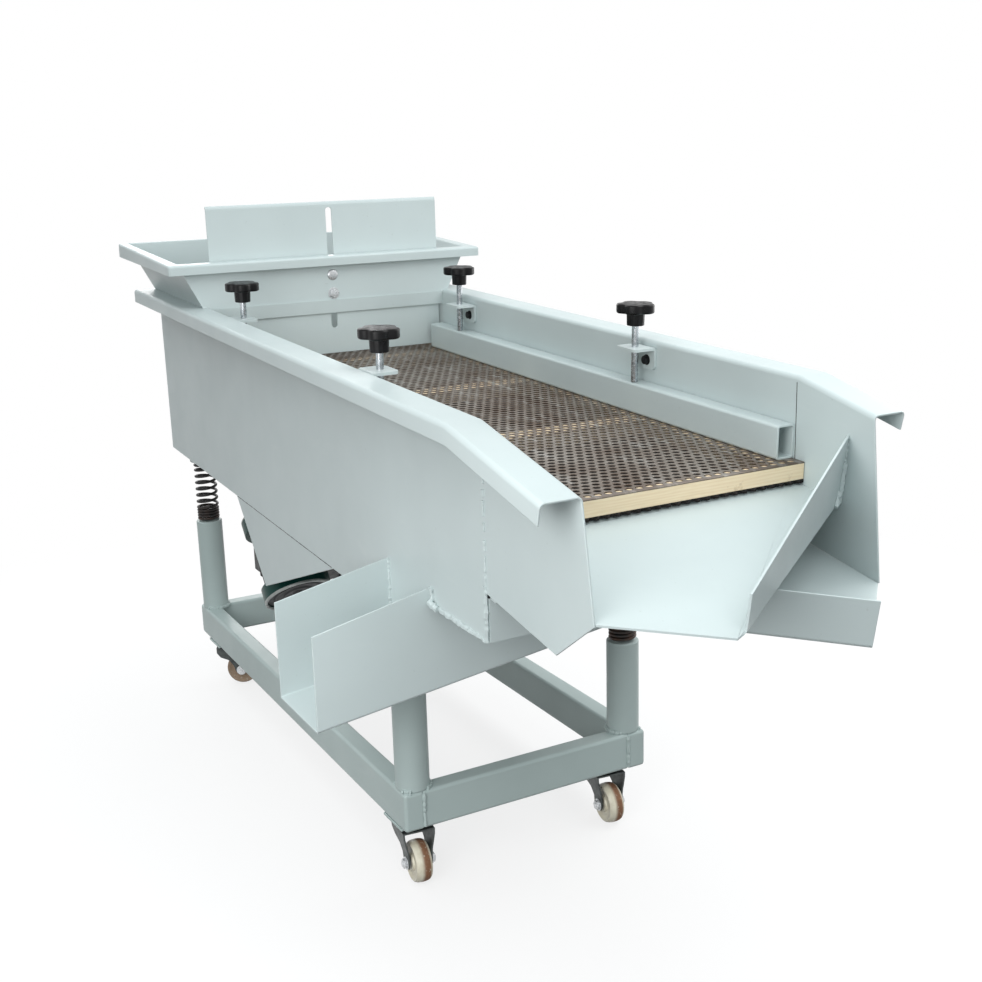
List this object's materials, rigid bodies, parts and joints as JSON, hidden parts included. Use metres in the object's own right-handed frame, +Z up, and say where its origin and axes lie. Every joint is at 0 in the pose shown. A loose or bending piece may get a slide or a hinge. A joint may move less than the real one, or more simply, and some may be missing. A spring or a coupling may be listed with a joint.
{
  "type": "vibrating screen",
  "caption": "Mobile sheet-steel vibrating screen with a feed hopper and gate, a sloped perforated deck, side and end outlets, springs and a wheeled base.",
  "frame": {"origin": "middle of the bounding box in plan, on the floor", "axes": "+Z up, +Y from the discharge end to the hopper, +X right seen from the discharge end"},
  "size_m": [0.823, 1.9358, 1.147],
  "materials": {
    "paint": "pale grey-green enamel, semi-gloss",
    "caster_steel": "dark grey pressed steel",
    "wheel_nylon": "cream nylon, worn brown tread",
    "bright_steel": "bright zinc-plated steel",
    "knob_plastic": "black moulded plastic",
    "spring_steel": "black oxide with rust",
    "motor_paint": "dark green enamel",
    "pine": "planed pine, bare",
    "screen_plate": "perforated brown-grey steel",
    "dark_steel": "dark perforated steel"
  },
  "bodies": {
    "base": {"base_frame": "paint", "posts": "paint", "caster_plates": "caster_steel", "springs_front": "spring_steel", "springs_rear": "spring_steel"},
    "screen_box": {"wall_left": "paint", "wall_right": "paint", "rear_wall": "paint", "floor_pan": "paint", "lower_deck": "screen_plate", "spring_seats": "paint", "motor_gussets": "paint", "motor_mounts": "paint", "motors": "motor_paint", "upper_tray": "paint", "lower_tray": "paint", "fines_chute": "paint", "hopper": "paint", "gate_bolts": "bright_steel", "deck_rails": "dark_steel", "sieve_frame": "pine", "sieve_plate": "screen_plate", "under_plate": "dark_steel", "hold_down_bars": "paint", "clamp_brackets": "paint"},
    "gate": {"feed_gate": "paint"},
    "caster_fl": {"fork_fl": "caster_steel"},
    "roller_fl": {"wheel_fl": "wheel_nylon"},
    "caster_fr": {"fork_fr": "caster_steel"},
    "roller_fr": {"wheel_fr": "wheel_nylon"},
    "caster_rl": {"fork_rl": "caster_steel"},
    "roller_rl": {"wheel_rl": "wheel_nylon"},
    "caster_rr": {"fork_rr": "caster_steel"},
    "roller_rr": {"wheel_rr": "wheel_nylon"},
    "clamp_fl": {"rod_fl": "bright_steel", "knob_fl": "knob_plastic"},
    "clamp_fr": {"rod_fr": "bright_steel", "knob_fr": "knob_plastic"},
    "clamp_rl": {"rod_rl": "bright_steel", "knob_rl": "knob_plastic"},
    "clamp_rr": {"rod_rr": "bright_steel", "knob_rr": "knob_plastic"}
  },
  "joints": [
    {"name": "box_shake", "type": "slide", "parent": "base", "child": "screen_box", "axis": [0, 0, 1], "range_m": [-0.005, 0.005], "stiffness_N_per_m": 48000, "springref_m": 0.02638, "deforming": ["springs_front", "springs_rear"]},
    {"name": "gate_slide", "type": "slide", "parent": "screen_box", "child": "gate", "axis": [0, 0, 1], "range_m": [0, 0.066]},
    {"name": "swivel_fl", "type": "hinge", "parent": "base", "child": "caster_fl", "pos_m": [-0.1575, -0.18715, 0.1], "axis": [0, 0, 1], "continuous": true},
    {"name": "roll_fl", "type": "hinge", "parent": "caster_fl", "child": "roller_fl", "pos_m": [-0.16064, -0.21699, 0.0375], "axis": [0.9945, -0.1045, 0], "continuous": true},
    {"name": "swivel_fr", "type": "hinge", "parent": "base", "child": "caster_fr", "pos_m": [0.2435, -0.18715, 0.1], "axis": [0, 0, 1], "continuous": true},
    {"name": "roll_fr", "type": "hinge", "parent": "caster_fr", "child": "roller_fr", "pos_m": [0.24036, -0.21699, 0.0375], "axis": [0.9945, -0.1045, 0], "continuous": true},
    {"name": "swivel_rl", "type": "hinge", "parent": "base", "child": "caster_rl", "pos_m": [-0.1575, 0.84285, 0.1], "axis": [0, 0, 1], "continuous": true},
    {"name": "roll_rl", "type": "hinge", "parent": "caster_rl", "child": "roller_rl", "pos_m": [-0.13152, 0.82785, 0.0375], "axis": [0.5, 0.866, 0], "continuous": true},
    {"name": "swivel_rr", "type": "hinge", "parent": "base", "child": "caster_rr", "pos_m": [0.2435, 0.84285, 0.1], "axis": [0, 0, 1], "continuous": true},
    {"name": "roll_rr", "type": "hinge", "parent": "caster_rr", "child": "roller_rr", "pos_m": [0.24036, 0.81301, 0.0375], "axis": [0.9945, -0.1045, 0], "continuous": true},
    {"name": "clamp_turn_fl", "type": "hinge", "parent": "screen_box", "child": "clamp_fl", "pos_m": [-0.1895, -0.22077, 0.90833], "axis": [0, -0.0366, 0.9993], "continuous": true},
    {"name": "clamp_turn_fr", "type": "hinge", "parent": "screen_box", "child": "clamp_fr", "pos_m": [0.2985, -0.22077, 0.90833], "axis": [0, -0.0366, 0.9993], "continuous": true},
    {"name": "clamp_turn_rl", "type": "hinge", "parent": "screen_box", "child": "clamp_rl", "pos_m": [-0.1895, 0.44178, 0.93263], "axis": [0, -0.0366, 0.9993], "continuous": true},
    {"name": "clamp_turn_rr", "type": "hinge", "parent": "screen_box", "child": "clamp_rr", "pos_m": [0.2985, 0.44178, 0.93263], "axis": [0, -0.0366, 0.9993], "continuous": true}
  ]
}
